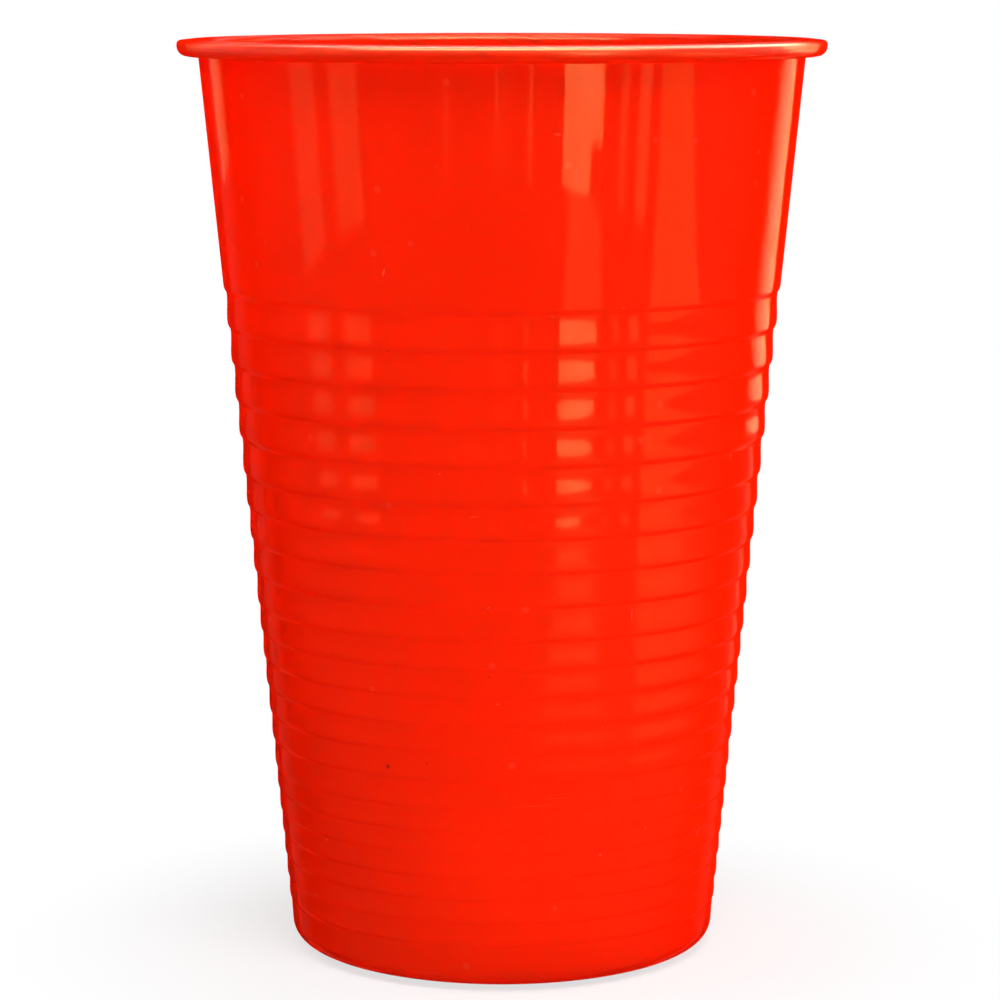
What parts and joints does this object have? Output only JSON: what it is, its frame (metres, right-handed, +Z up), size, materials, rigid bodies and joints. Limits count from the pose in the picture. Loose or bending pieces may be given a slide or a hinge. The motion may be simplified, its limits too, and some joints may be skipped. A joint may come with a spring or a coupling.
{
  "type": "drinking tumbler",
  "caption": "One-piece plastic drinking tumbler with a rolled lip, a plain upper band and a stepped, tapering wall.",
  "frame": {"origin": "centre of the foot ring, on the surface that the cup stands on", "axes": "+Z up along the cup's axis, from the base to the open mouth; the cup is round, so X and Y are free"},
  "size_m": [0.095, 0.095, 0.135],
  "materials": {
    "red_plastic": "gloss"
  },
  "bodies": {
    "root": {"tumbler": "red_plastic"}
  },
  "joints": []
}
